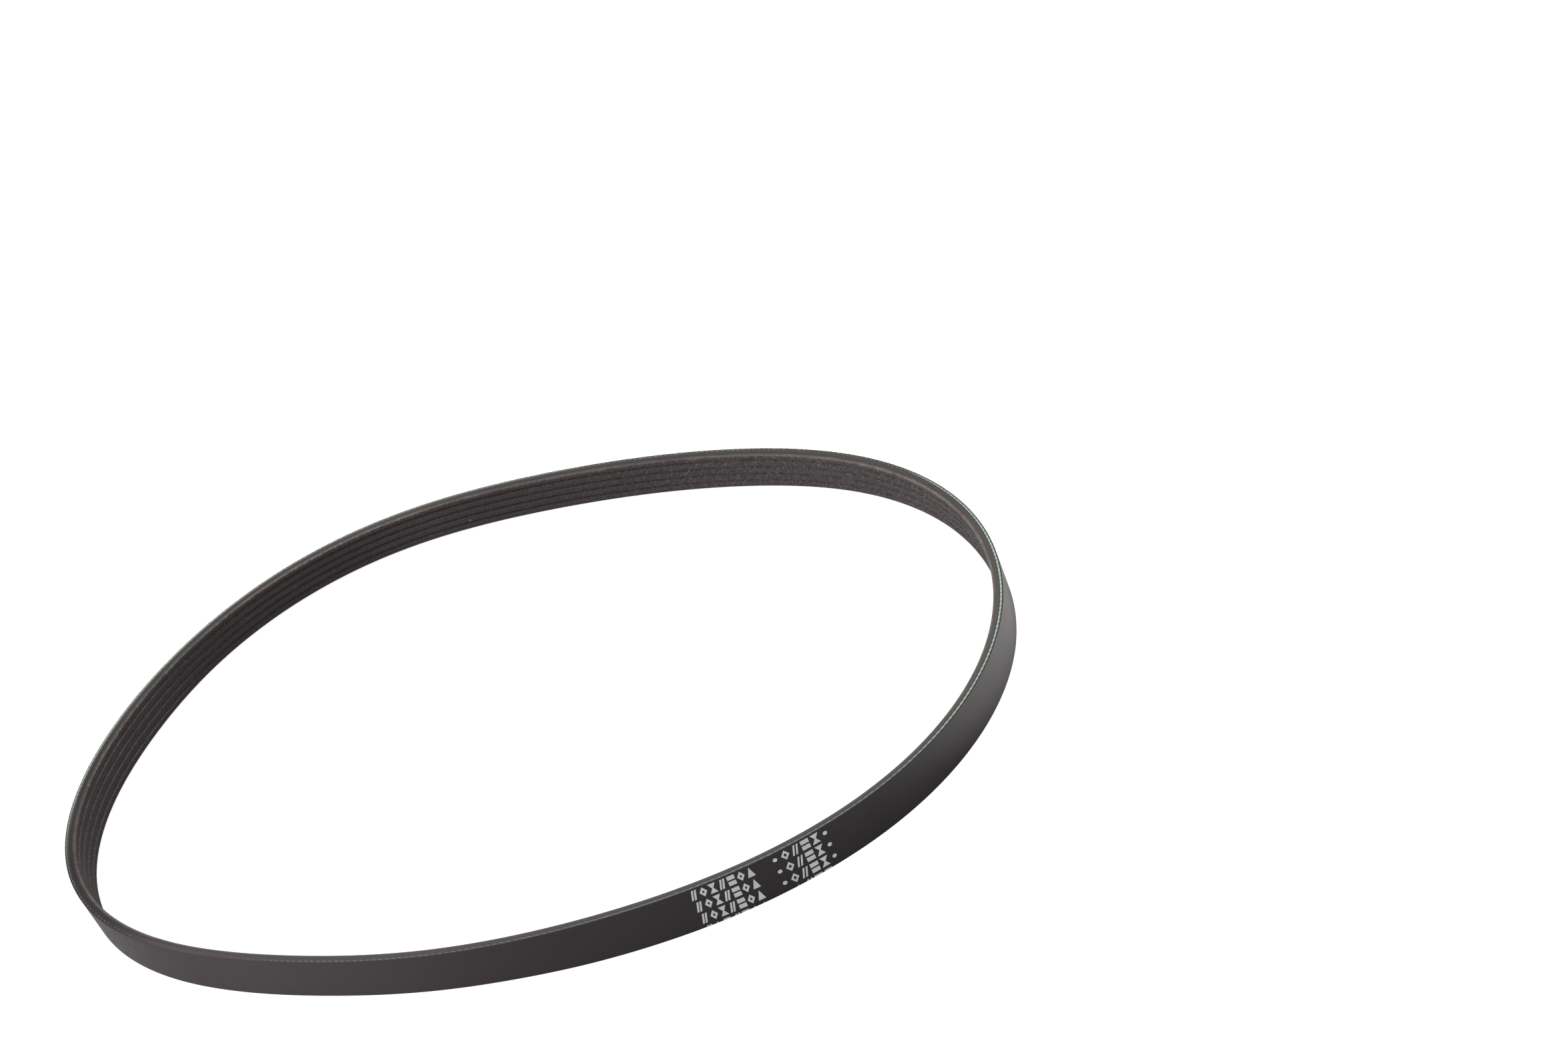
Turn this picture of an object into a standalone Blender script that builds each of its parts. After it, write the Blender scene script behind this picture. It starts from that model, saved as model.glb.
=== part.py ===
"""Serpentine belt.

One endless rubber belt with five V-shaped ribs along its inner side. It stands
on its lower cut edge, as a loose oval loop. Metres, +Z up. The origin is at the
middle of the loop's box, on the surface that the belt stands on, and +X runs
along the long way of the oval.
"""

import math

import bpy
from mathutils import Vector

# The belt's catalogue sizes
EFFECTIVE_LENGTH = 1.095        # once round the loop, at the effective line
PITCH_LINE_OFFSET = 0.0020      # from the effective line out to the tensile cord
RIB_COUNT = 5
RIB_PITCH = 0.00356             # from one rib to the next
GROOVE_ANGLE = math.radians(40.0)   # between the two flanks of a groove

# The section
BACK_THICKNESS = 0.00215        # from the back in to the floor of a groove
RIB_HEIGHT = 0.0020             # from the floor of a groove in to the rib's flat tip
GROOVE_FLOOR = 0.0002           # width of the narrow flat at the bottom of a groove
TIP_EDGE_RADIUS = 0.0003        # rounded long edges of each rib's tip
TIP_EDGE_STEPS = 2              # straight steps in one rounded edge
CORD_DEPTH = 0.0008             # from the back in to the middle of the tensile cord

# How the slack loop lies: each row is a number of lobes round the loop, their
# height as a share of the mean radius, and the direction of the first lobe.
LOOP_LOBES = (
    (2, 0.1535, math.radians(0.0)),      # the long oval
    (3, 0.0115, math.radians(-20.0)),    # one end blunter than the other
    (4, 0.0035, math.radians(94.0)),     # a little squareness, turned off the axis
    (5, 0.0070, math.radians(-46.0)),    # flatter stretches along the sides
    (6, 0.0040, math.radians(173.0)),
    (7, 0.0005, math.radians(-84.0)),
)
LOOP_STATIONS = 120             # sections once round the loop

RUBBER_COLOUR = (0.028, 0.025, 0.026, 1.0)
RUBBER_ROUGHNESS = 0.5

# Worked out from the sizes above
BELT_WIDTH = RIB_COUNT * RIB_PITCH
PITCH_LENGTH = EFFECTIVE_LENGTH + 2.0 * math.pi * PITCH_LINE_OFFSET
FLANK_RUN = RIB_HEIGHT * math.tan(GROOVE_ANGLE / 2.0)
TIP_WIDTH = RIB_PITCH - GROOVE_FLOOR - 2.0 * FLANK_RUN


def clear_scene():
    for old in list(bpy.data.objects):
        bpy.data.objects.remove(old, do_unlink=True)


def new_collection(name):
    collection = bpy.data.collections.new(name)
    bpy.context.scene.collection.children.link(collection)
    return collection


def rubber_material():
    material = bpy.data.materials.new("rubber")
    material.use_nodes = True
    shader = material.node_tree.nodes["Principled BSDF"]
    shader.inputs["Base Color"].default_value = RUBBER_COLOUR
    shader.inputs["Roughness"].default_value = RUBBER_ROUGHNESS
    shader.inputs["Metallic"].default_value = 0.0
    return material


def rounded_corner(before, corner, after, radius, steps):
    """Points of the arc that rounds a corner between two straight runs."""
    into = (corner - before).normalized()
    out = (after - corner).normalized()
    turn = into.angle(out)
    setback = radius * math.tan(turn / 2.0)
    start = corner - into * setback
    side = Vector((-into.y, into.x))
    if side.dot(out) < 0.0:
        side.negate()
    centre = start + side * radius
    arc = []
    for step in range(steps + 1):
        angle = turn * step / steps
        arc.append(centre + into * (radius * math.sin(angle)) - side * (radius * math.cos(angle)))
    return arc


def section_points():
    """The belt's cross-section as (depth in from the back, height), once round."""
    tip_depth = BACK_THICKNESS + RIB_HEIGHT
    points = [Vector((0.0, BELT_WIDTH)), Vector((0.0, 0.0)), Vector((BACK_THICKNESS, 0.0))]
    for rib in range(RIB_COUNT):
        middle = (rib + 0.5) * RIB_PITCH
        foot_low = Vector((BACK_THICKNESS, middle - (RIB_PITCH - GROOVE_FLOOR) / 2.0))
        tip_low = Vector((tip_depth, middle - TIP_WIDTH / 2.0))
        tip_high = Vector((tip_depth, middle + TIP_WIDTH / 2.0))
        foot_high = Vector((BACK_THICKNESS, middle + (RIB_PITCH - GROOVE_FLOOR) / 2.0))
        points.append(foot_low)
        points += rounded_corner(foot_low, tip_low, tip_high, TIP_EDGE_RADIUS, TIP_EDGE_STEPS)
        points += rounded_corner(tip_low, tip_high, foot_high, TIP_EDGE_RADIUS, TIP_EDGE_STEPS)
        points.append(foot_high)
    points.append(Vector((BACK_THICKNESS, BELT_WIDTH)))
    return points


def lobed_radius(angle):
    """Radius of the loop in this direction, where the mean radius is 1."""
    return 1.0 + sum(height * math.cos(lobes * angle - turn) for lobes, height, turn in LOOP_LOBES)


def loop_points(count):
    """The tensile cord's line round the loop, at its true length, centred on the belt's box."""
    unit = [Vector((lobed_radius(a) * math.cos(a), lobed_radius(a) * math.sin(a)))
            for a in (2.0 * math.pi * i / count for i in range(count))]
    around = sum((unit[i] - unit[i - 1]).length for i in range(count))
    line = [point * (PITCH_LENGTH / around) for point in unit]
    low = Vector((min(p.x for p in line), min(p.y for p in line)))
    high = Vector((max(p.x for p in line), max(p.y for p in line)))
    middle = (low + high) / 2.0
    return [point - middle for point in line]


def curve_object(name, points, collection):
    """A closed curve through the points, which may be flat or in space."""
    curve = bpy.data.curves.new(name, "CURVE")
    curve.dimensions = "3D"
    spline = curve.splines.new("POLY")
    spline.points.add(len(points) - 1)
    for slot, point in zip(spline.points, points):
        slot.co = (point[0], point[1], point[2] if len(point) > 2 else 0.0, 1.0)
    spline.use_cyclic_u = True
    result = bpy.data.objects.new(name, curve)
    collection.objects.link(result)
    return result


def belt_section(collection):
    """The cross-section as a guide curve, back outwards, centred on the cord and on half the width."""
    points = [Vector((CORD_DEPTH - p.x, p.y - BELT_WIDTH / 2.0)) for p in section_points()]
    guide = curve_object("belt_section", points, collection)
    guide.hide_render = True
    guide.display_type = "WIRE"
    return guide


def belt(section, collection):
    """The section swept once round the loop, upright all the way."""
    line = [Vector((p.x, p.y, BELT_WIDTH / 2.0)) for p in loop_points(LOOP_STATIONS)]
    body = curve_object("belt", line, collection)
    body.data.twist_mode = "Z_UP"
    body.data.resolution_u = 1
    body.data.render_resolution_u = 0
    body.data.bevel_mode = "OBJECT"
    body.data.bevel_object = section
    body.data.materials.append(rubber_material())
    return body


def main():
    clear_scene()
    guides = new_collection("guides")
    parts = new_collection("serpentine_belt")
    section = belt_section(guides)
    belt(section, parts)


main()
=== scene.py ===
"""Serpentine belt: the looks.

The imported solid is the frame. The rubber is swept again round the same loop
with a finer section, and gets its cut edges, its tensile strand, its fibres
and its pale marks. Metres, +Z up, in the frame's own coordinates.
"""

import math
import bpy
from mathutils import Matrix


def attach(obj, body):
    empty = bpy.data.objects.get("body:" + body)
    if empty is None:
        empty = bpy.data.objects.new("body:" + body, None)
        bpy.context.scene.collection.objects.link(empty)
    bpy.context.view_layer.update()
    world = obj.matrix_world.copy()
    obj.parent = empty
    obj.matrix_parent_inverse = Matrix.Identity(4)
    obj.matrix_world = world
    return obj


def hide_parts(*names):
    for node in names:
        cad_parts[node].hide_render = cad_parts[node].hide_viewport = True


bl_info = {
    "name": "Serpentine Belt",
    "version": (1, 0, 0),
    "blender": (4, 5, 0),
    "location": "View3D > Sidebar > Belt",
    "description": "Builds the looks of a five-rib serpentine belt on its solid frame",
    "category": "Object",
}

import bmesh
import bpy
import numpy as np
from mathutils import Matrix, Vector

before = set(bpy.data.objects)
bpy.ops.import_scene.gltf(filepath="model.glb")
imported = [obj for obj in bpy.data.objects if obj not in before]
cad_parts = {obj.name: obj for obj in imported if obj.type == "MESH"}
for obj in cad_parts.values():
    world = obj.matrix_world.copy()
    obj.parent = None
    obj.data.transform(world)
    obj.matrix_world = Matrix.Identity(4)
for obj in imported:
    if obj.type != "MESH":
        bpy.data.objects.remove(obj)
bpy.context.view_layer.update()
BODY = "root"
CAD_NODE = "belt"

MM = 0.001
WHITE = (1.0, 1.0, 1.0, 1.0)

# How the slack loop lies: lobes round the loop, their height as a share of the
# mean radius, and the direction of the first lobe in degrees. The solid has the
# same lobes. A program fitted them to the photograph, and they were rounded.
LOOP_LOBES = (
    (2, 0.1535, 0.0),
    (3, 0.0115, -20.0),
    (4, 0.0035, 94.0),
    (5, 0.0070, -46.0),
    (6, 0.0040, 173.0),
    (7, 0.0005, -84.0),
)

# How the slack belt leans, in slow waves: place as a share of its length, and
# how far its lower edge stands out from under the upper one, in millimetres.
LEAN = (
    (0.00, 0.5), (0.12, 0.0), (0.24, -1.0), (0.41, 0.5), (0.51, -1.5),
    (0.65, 0.5), (0.76, -0.5), (0.83, 0.5), (0.90, 0.0), (1.00, 0.5),
)
LEAN_REACH = 4.0

# Painted sheen on the back, a tone that stands in for its reflections: place as a share
# of the length, and half of the tone, which is 1 for plain rubber. Set against the photograph.
BACK_PAINTED_SHEEN = (
    (0.00, 0.90), (0.08, 0.50), (0.56, 0.50), (0.61, 0.75), (0.65, 0.50), (0.70, 0.85),
    (0.77, 0.60), (0.82, 0.30), (0.92, 0.05), (0.96, 0.10), (1.00, 0.90),
)

# How far the strand shows in the upper cut edge: place as a share of the length,
# and 1 where half of its width stands clear of the rubber. Set the same way.
STRAND_SHOWS = (
    (0.000, 0.90), (0.085, 0.88), (0.105, 0.44), (0.130, 0.37), (0.165, 0.37), (0.190, 0.44),
    (0.250, 0.46), (0.285, 0.74), (0.390, 0.78), (0.430, 0.94), (0.515, 0.90), (0.545, 0.62),
    (0.575, 0.45), (0.620, 0.36), (0.655, 0.26), (0.700, 0.36), (0.735, 0.42), (0.790, 0.50),
    (0.830, 0.68), (0.880, 0.84), (0.935, 0.86), (1.000, 0.90),
)

# The faint slanting imprint on the back: from line to line, and waves up each millimetre
IMPRINT_PITCH = 1.0 * MM
IMPRINT_SLANT = 0.66
SPECK_COLOUR = (0.09, 0.08, 0.075, 1.0)
# Round this place the cut edges are darker and duller
DARK_DULL_SPOT = (-0.160, -0.098)

# Stray yarns: place along the loop, reach along it, and sideways, in millimetres
STRAY_YARNS = ((906.5, 1.9, 0.55), (931.5, 1.6, -0.50), (966.0, 2.2, 0.60))
# How each one bends: share of its reach, share of its sideways swing, and lift in millimetres
YARN_BENDS = ((0.0, 0.0, -0.08), (0.35, 1.0, 0.12), (0.75, 0.75, 0.16), (1.0, -0.3, -0.02))

# The flake's outline in millimetres, about its place along the loop and its height
FLAKE = (
    (-0.65, 0.25), (-0.30, -0.10), (0.00, -0.55), (0.45, -0.60),
    (0.55, -0.15), (0.20, 0.30), (-0.25, 0.45),
)
FLAKE_PLACE = (348.0 * MM, 4.95 * MM)
FLAKE_THICKNESS = 0.10

# The stage: half of the floor's side, the soft panel, and the camera as it was
# fitted to the belt's outline in the photograph
FLOOR_REACH = 4
PANEL_PLACE = (-1.30, -0.42, 0.55)
PANEL_SIDES = (0.9, 0.6)
PANEL_WATTS = 17.5
CAMERA_PLACE = (0.3923, -0.6164, 0.5025)
CAMERA_LENS = 49.96
CAMERA_BEARING = math.radians(-23.0)
CAMERA_TILT = math.radians(32.74)
CAMERA_ROLL = math.radians(-21.86)


# Node graphs

def maths(operation, swapped=False):
    """A method that adds one Math node to a term."""
    def method(self, *others):
        values = (self, *others)
        return self._math(operation, *(reversed(values) if swapped else values))
    return method


class Term:
    """A number that flows through a node tree, so that maths reads as maths."""

    def __init__(self, graph, socket):
        self.graph = graph
        self.socket = socket

    def _math(self, operation, *values, clamp=False):
        node = self.graph.add("ShaderNodeMath", dict(enumerate(values)),
                              operation=operation, use_clamp=clamp)
        return Term(self.graph, node.outputs[0])

    __add__, __radd__ = maths("ADD"), maths("ADD", swapped=True)
    __sub__, __rsub__ = maths("SUBTRACT"), maths("SUBTRACT", swapped=True)
    __mul__, __rmul__ = maths("MULTIPLY"), maths("MULTIPLY", swapped=True)
    __truediv__, __rtruediv__ = maths("DIVIDE"), maths("DIVIDE", swapped=True)
    sin, cos = maths("SINE"), maths("COSINE")
    fract, size = maths("FRACT"), maths("ABSOLUTE")
    high, above = maths("MAXIMUM"), maths("GREATER_THAN")

    def clamped(self):
        return self._math("ADD", self, 0.0, clamp=True)

    def rise(self, start, end):
        """0 at start and below, 1 at end and above, smooth between. start may be the larger."""
        t = ((self - start) * (1.0 / (end - start))).clamped()
        return t * t * (3.0 - 2.0 * t)


class Graph:
    """A node tree that is filled by one add method."""

    def __init__(self, tree):
        self.tree = tree

    def add(self, kind, inputs=None, **settings):
        """A node of a kind: its settings are set first, then its sockets get values or links."""
        node = self.tree.nodes.new(kind)
        for name, value in settings.items():
            setattr(node, name, value)
        for name, value in (inputs or {}).items():
            self.join(node.inputs[name], value)
        return node

    def join(self, socket, value):
        if isinstance(value, Term):
            self.tree.links.new(value.socket, socket)
        elif isinstance(value, bpy.types.NodeSocket):
            self.tree.links.new(value, socket)
        elif isinstance(value, bpy.types.Node):
            self.tree.links.new(value.outputs[0], socket)
        else:
            socket.default_value = value

    def term(self, node, output=0):
        return Term(self, node.outputs[output])

    def parts(self, vector):
        node = self.add("ShaderNodeSeparateXYZ", {0: vector})
        return [self.term(node, axis) for axis in range(3)]

    def vector(self, x, y, z):
        return self.add("ShaderNodeCombineXYZ", {0: x, 1: y, 2: z}).outputs[0]

    def vectors(self, operation, *values):
        node = self.add("ShaderNodeVectorMath", operation=operation)
        for slot, value in enumerate(values):
            name = "Scale" if operation == "SCALE" and slot == 1 else slot
            self.join(node.inputs[name], value)
        return self.term(node, 1) if operation == "LENGTH" else node.outputs[0]

    def scaled(self, vector, factor):
        return self.vectors("SCALE", vector, factor)

    def noise(self, place, scale=None, detail=2.0, rough=0.5, seed=None):
        """Noise about 0.5 at a place, which is a vector or three numbers."""
        if isinstance(place, tuple):
            place = self.vector(*place)
        if scale is not None:
            place = self.scaled(place, scale)
        inputs = {"Vector": place, "Scale": 1.0, "Detail": detail, "Roughness": rough}
        if seed is not None:
            inputs["W"] = seed
        dimensions = "3D" if seed is None else "4D"
        return self.term(self.add("ShaderNodeTexNoise", inputs, noise_dimensions=dimensions))

    def mix(self, factor, first, second):
        """A colour between two colours."""
        return self.add("ShaderNodeMix", {0: factor, 6: first, 7: second}, data_type="RGBA").outputs[2]

    def bump(self, shader, height, strength, distance):
        relief = self.add("ShaderNodeBump", {"Strength": strength, "Distance": distance, "Height": height})
        self.join(shader.inputs["Normal"], relief)

    def curve(self, value, points):
        """A number read off a curve through a few points."""
        node = self.add("ShaderNodeFloatCurve")
        line = node.mapping.curves[0]
        for x, y in points[1:-1]:
            line.points.new(x, y)
        line.points[0].location = points[0]
        line.points[len(points) - 1].location = points[-1]
        for point in line.points:
            point.handle_type = "AUTO_CLAMPED"
        node.mapping.update()
        self.join(node.inputs["Value"], value)
        return self.term(node)

    def moved(self, geometry, **moves):
        """Geometry with its points set by Position or Offset."""
        return self.add("GeometryNodeSetPosition", {"Geometry": geometry, **moves})

    def stored(self, geometry, name, value, kind="FLOAT"):
        """Geometry whose points carry a named value."""
        return self.add("GeometryNodeStoreNamedAttribute",
                        {"Geometry": geometry, "Name": name, "Value": value},
                        data_type=kind, domain="POINT")

    def attribute(self, name, kind="FLOAT"):
        node = self.add("GeometryNodeInputNamedAttribute", {"Name": name}, data_type=kind)
        return self.term(node)

    def random(self, low, high, seed):
        """A random number for each point."""
        node = self.add("FunctionNodeRandomValue", {2: low, 3: high, "Seed": seed}, data_type="FLOAT")
        return self.term(node, 1)

    def along_spline(self, measure):
        """Length or Factor along the curve."""
        return self.term(self.add("GeometryNodeSplineParameter"), measure)


def new_material(name):
    """A material whose Principled shader is wired by the caller: (material, graph, shader)."""
    material = bpy.data.materials.new(name)
    material.use_nodes = True
    graph = Graph(material.node_tree)
    return material, graph, material.node_tree.nodes["Principled BSDF"]


SOCKET_KINDS = {float: "NodeSocketFloat", int: "NodeSocketInt"}


def new_geometry_tree(name, sizes):
    """A geometry tree with named inputs for its sizes: (graph, inputs by name)."""
    tree = bpy.data.node_groups.new(name, "GeometryNodeTree")
    tree.interface.new_socket("Geometry", in_out="INPUT", socket_type="NodeSocketGeometry")
    for label, size in sizes.items():
        socket = tree.interface.new_socket(label, in_out="INPUT", socket_type=SOCKET_KINDS[type(size)])
        socket.default_value = size
    tree.interface.new_socket("Material", in_out="INPUT", socket_type="NodeSocketMaterial")
    tree.interface.new_socket("Geometry", in_out="OUTPUT", socket_type="NodeSocketGeometry")
    graph = Graph(tree)
    node = graph.add("NodeGroupInput")
    return graph, {label: graph.term(node, label) for label in ("Geometry", *sizes, "Material")}


def close_tree(graph, given, geometry, smooth=False):
    """Ends a tree: instances are made real, and the material is set."""
    if smooth:
        geometry = graph.add("GeometryNodeSetShadeSmooth", {"Geometry": geometry})
    real = graph.add("GeometryNodeRealizeInstances", {0: geometry})
    finished = graph.add("GeometryNodeSetMaterial", {"Geometry": real, "Material": given["Material"]})
    graph.add("NodeGroupOutput", {0: finished})
    return graph.tree


def linked(name, data):
    """A new object in the scene."""
    made = bpy.data.objects.new(name, data)
    bpy.context.scene.collection.objects.link(made)
    return made


def baked(name, mesh, tree, sizes, material):
    """A plain mesh object made by running a geometry tree on a mesh."""
    draft = linked(name + "_draft", mesh)
    modifier = draft.modifiers.new("shape", "NODES")
    modifier.node_group = tree
    for item in tree.interface.items_tree:
        if item.in_out == "INPUT" and item.name in sizes:
            modifier[item.identifier] = sizes[item.name]
    depsgraph = bpy.context.evaluated_depsgraph_get()
    result = bpy.data.meshes.new_from_object(draft.evaluated_get(depsgraph),
                                             preserve_all_data_layers=True, depsgraph=depsgraph)
    bpy.data.objects.remove(draft, do_unlink=True)
    result.name = name
    result.materials.clear()
    result.materials.append(material)
    return linked(name, result)


# Sizes and colours

def length(name, description, millimetres):
    return bpy.props.FloatProperty(name=name, description=description, default=millimetres * MM,
                                   min=0.0, unit="LENGTH", subtype="DISTANCE", precision=5)


def count(name, description, default, low=0):
    return bpy.props.IntProperty(name=name, description=description, default=default, min=low)


def colour(name, description, *rgb):
    return bpy.props.FloatVectorProperty(name=name, description=description, default=(*rgb, 1.0),
                                         size=4, min=0.0, max=1.0, subtype="COLOR")


class BeltSizes(bpy.types.PropertyGroup):
    """Sizes of the rubber, as in the solid."""
    effective_length: length("Effective length", "Once round the belt at its effective line", 1095.0)
    pitch_line_offset: length("Pitch line offset", "From the effective line out to the strand", 2.0)
    rib_count: count("Ribs", "Ribs side by side on the inner face", 5, low=1)
    rib_pitch: length("Rib pitch", "From one rib to the next", 3.56)
    groove_angle: bpy.props.FloatProperty(name="Groove angle", default=math.radians(40.0), subtype="ANGLE",
                                          description="Between the two flanks of a groove")
    back_thickness: length("Back thickness", "From the back in to the floor of a groove", 2.15)
    rib_height: length("Rib height", "From the floor of a groove in to the tip of a rib", 2.0)
    groove_floor: length("Groove floor", "Width of the flat at the bottom of a groove", 0.2)
    tip_radius: length("Tip edge radius", "Rounding of the long edges of a rib's tip", 0.3)
    cut_radius: length("Cut edge radius", "Rounding where a cut edge meets the back", 0.06)
    strand_depth: length("Strand depth", "From the back in to the middle of the strand", 0.8)
    stations: count("Stations", "Sections once round the loop", 960, low=60)
    ragged: length("Ragged edge", "How far the torn outer edges wander", 0.10)


class StrandSizes(bpy.types.PropertyGroup):
    """Sizes of the tensile strand that shows in the upper cut edge."""
    width: length("Strand width", "Across the twisted strand", 0.80)
    plies: bpy.props.IntProperty(name="Plies", description="Yarns twisted together",
                                 default=3, min=2, max=6)
    dash: length("Crest spacing", "From one crest of the twist to the next", 2.6)
    flush: bpy.props.FloatProperty(name="Flush", default=0.16, min=0.0, max=1.0, subtype="FACTOR",
                                   description="Share of its height that a crest keeps above the cut")
    stations: count("Stations", "Points of each yarn once round the loop", 3200, low=60)


class FibreSizes(bpy.types.PropertyGroup):
    """Sizes of the short fibres in the rib rubber."""
    count: count("Fibres", "Short fibres on the ribs", 6500)
    length: length("Fibre length", "Length of a short fibre", 0.60)
    width: length("Fibre width", "Width of a short fibre", 0.07)


class MarkSizes(bpy.types.PropertyGroup):
    """Sizes of the pale marks on the back."""
    height: length("Mark height", "Height of one mark", 4.3)
    row_pitch: length("Row pitch", "From one row of marks to the next", 5.5)
    stroke: length("Stroke", "Width of a mark's lines", 0.8)
    lift: length("Ink thickness", "How far the ink stands off the rubber", 0.025)


class WearSizes(bpy.types.PropertyGroup):
    """Sizes of the frayed edge and the stray yarns."""
    tufts: count("Tufts", "Torn tufts tried along the upper back edge", 2600)
    tuft: length("Tuft size", "Height of a torn tuft", 0.17)
    yarn: length("Yarn", "Thickness of a stray yarn", 0.11)


class BeltColours(bpy.types.PropertyGroup):
    """Colours of the belt's finishes."""
    back: colour("Back", "Smooth back of the belt", 0.0170, 0.0122, 0.0140)
    cut: colour("Cut edge", "Ground cut edges", 0.048, 0.0415, 0.0385)
    rib: colour("Ribs", "Rib rubber", 0.0475, 0.0398, 0.0405)
    fuzz: colour("Fuzz", "Worn fibres along the rib edges", 0.150, 0.130, 0.119)
    strand: colour("Strand", "Tensile strand", 0.31, 0.395, 0.345)
    torn: colour("Torn rubber", "Tufts along the frayed edge", 0.040, 0.034, 0.033)
    flake: colour("Flake", "Small flake on a rib", 0.24, 0.175, 0.135)
    mark: colour("Marks", "Ink of the marks", 0.80, 0.82, 0.84)


def settings(group):
    return getattr(bpy.context.scene, group)


def pitch_length():
    sizes = settings("belt_sizes")
    return sizes.effective_length + 2.0 * math.pi * sizes.pitch_line_offset


def belt_width():
    sizes = settings("belt_sizes")
    return sizes.rib_count * sizes.rib_pitch


def tip_width():
    """Width of a rib's tip, between its two sharp corners."""
    sizes = settings("belt_sizes")
    return sizes.rib_pitch - sizes.groove_floor - 2.0 * sizes.rib_height * math.tan(sizes.groove_angle / 2.0)


def loop_sizes():
    """The inputs that every tree on the loop has."""
    return {"Pitch Length": pitch_length(), "Belt Width": belt_width(),
            "Stations": settings("belt_sizes").stations}


# The loop and the section

def loop_group():
    """A node group that draws the tensile line round the loop, at its true length."""
    name = "slack_loop"
    if name in bpy.data.node_groups:
        return bpy.data.node_groups[name]
    tree = bpy.data.node_groups.new(name, "GeometryNodeTree")
    for label, kind, default in (("Length", "NodeSocketFloat", 1.0), ("Stations", "NodeSocketInt", 240),
                                 ("Height", "NodeSocketFloat", 0.0)):
        tree.interface.new_socket(label, in_out="INPUT", socket_type=kind).default_value = default
    tree.interface.new_socket("Loop", in_out="OUTPUT", socket_type="NodeSocketGeometry")
    graph = Graph(tree)
    given = graph.add("NodeGroupInput")
    wanted, stations, height = (graph.term(given, n) for n in range(3))
    circle = graph.add("GeometryNodeCurvePrimitiveCircle", {"Resolution": stations, "Radius": 1.0},
                       mode="RADIUS")
    angle = graph.term(graph.add("GeometryNodeInputIndex")) * (2.0 * math.pi) / stations
    radius = 1.0
    for lobes, share, turn in LOOP_LOBES:
        radius = (angle * float(lobes) - math.radians(turn)).cos() * share + radius
    unit = graph.moved(circle, Position=graph.vector(radius * angle.cos(), radius * angle.sin(), 0.0))
    scale = wanted / graph.term(graph.add("GeometryNodeCurveLength", {0: unit}))
    place = graph.add("GeometryNodeInputPosition")
    true_size = graph.moved(unit, Position=graph.scaled(place, scale))
    box = graph.add("GeometryNodeBoundBox", {0: true_size})
    middle = graph.scaled(graph.vectors("ADD", box.outputs["Min"], box.outputs["Max"]), -0.5)
    lift = graph.vectors("ADD", middle, graph.vector(0.0, 0.0, height))
    upright = graph.add("GeometryNodeSetCurveNormal", {"Curve": graph.moved(true_size, Offset=lift)},
                        mode="Z_UP")
    graph.add("NodeGroupOutput", {0: upright})
    return tree


def add_loop(graph, given, height):
    return graph.add("GeometryNodeGroup", node_tree=loop_group(), inputs={
        "Length": given["Pitch Length"], "Stations": given["Stations"], "Height": height})


def lean_at(graph, share, height, width):
    """How far the rubber at a height stands out, where its lower edge leans out from under the upper."""
    low_edge = graph.curve(share, [(place, 0.5 + lean / LEAN_REACH) for place, lean in LEAN]) - 0.5
    return low_edge * (LEAN_REACH * MM) * (1.0 - height / width)


def outwards(graph, tangent):
    """The level direction out of the loop, from the direction along it."""
    return graph.vectors("NORMALIZE", graph.vectors("CROSS_PRODUCT", tangent, (0.0, 0.0, 1.0)))


def rounded(before, corner, after, radius, steps):
    """Points of the arc that rounds a corner between two straight runs."""
    into = (corner - before).normalized()
    out = (after - corner).normalized()
    turn = into.angle(out)
    start = corner - into * (radius * math.tan(turn / 2.0))
    side = Vector((-into.y, into.x))
    if side.dot(out) < 0.0:
        side.negate()
    centre = start + side * radius
    angles = [turn * step / steps for step in range(steps + 1)]
    return [centre + into * (radius * math.sin(a)) - side * (radius * math.cos(a)) for a in angles]


def fine_section():
    """The belt's section as (depth in from the back, height, how ragged), once round."""
    sizes = settings("belt_sizes")
    width, back = belt_width(), sizes.back_thickness
    tip = back + sizes.rib_height
    run = sizes.rib_height * math.tan(sizes.groove_angle / 2.0)
    half_foot = (sizes.rib_pitch - sizes.groove_floor) / 2.0
    half_tip = half_foot - run
    hold = 0.06 * MM
    corners = []

    def straight(a, b, parts):
        corners.extend((a.lerp(b, part / parts), 0.0) for part in range(1, parts))

    def arc(before, corner, after, radius, ragged):
        points = rounded(before, corner, after, radius, 3)
        corners.append((points[0] - (corner - before).normalized() * hold, 0.0))
        corners.extend((point, ragged) for point in points)
        corners.append((points[-1] + (after - corner).normalized() * hold, 0.0))

    low_back, high_back = Vector((0.0, 0.0)), Vector((0.0, width))
    low_foot, high_foot = Vector((back, 0.0)), Vector((back, width))
    arc(high_back, low_back, low_foot, sizes.cut_radius, 0.15)
    straight(low_back, low_foot, 3)
    corners.append((low_foot, 0.0))
    for rib in range(sizes.rib_count):
        middle = (rib + 0.5) * sizes.rib_pitch
        foot_low, foot_high = Vector((back, middle - half_foot)), Vector((back, middle + half_foot))
        tip_low, tip_high = Vector((tip, middle - half_tip)), Vector((tip, middle + half_tip))
        corners.append((foot_low, 0.0))
        corners.append((foot_low.lerp(tip_low, 0.5), 0.0))
        arc(foot_low, tip_low, tip_high, sizes.tip_radius, 0.10)
        arc(tip_low, tip_high, foot_high, sizes.tip_radius, 0.15)
        corners.append((tip_high.lerp(foot_high, 0.5), 0.0))
        corners.append((foot_high, 0.0))
    corners.append((high_foot, 0.0))
    straight(high_foot, high_back, 4)
    arc(high_foot, high_back, low_back, sizes.cut_radius, 1.0)
    straight(high_back, low_back, 6)
    return corners


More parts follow.
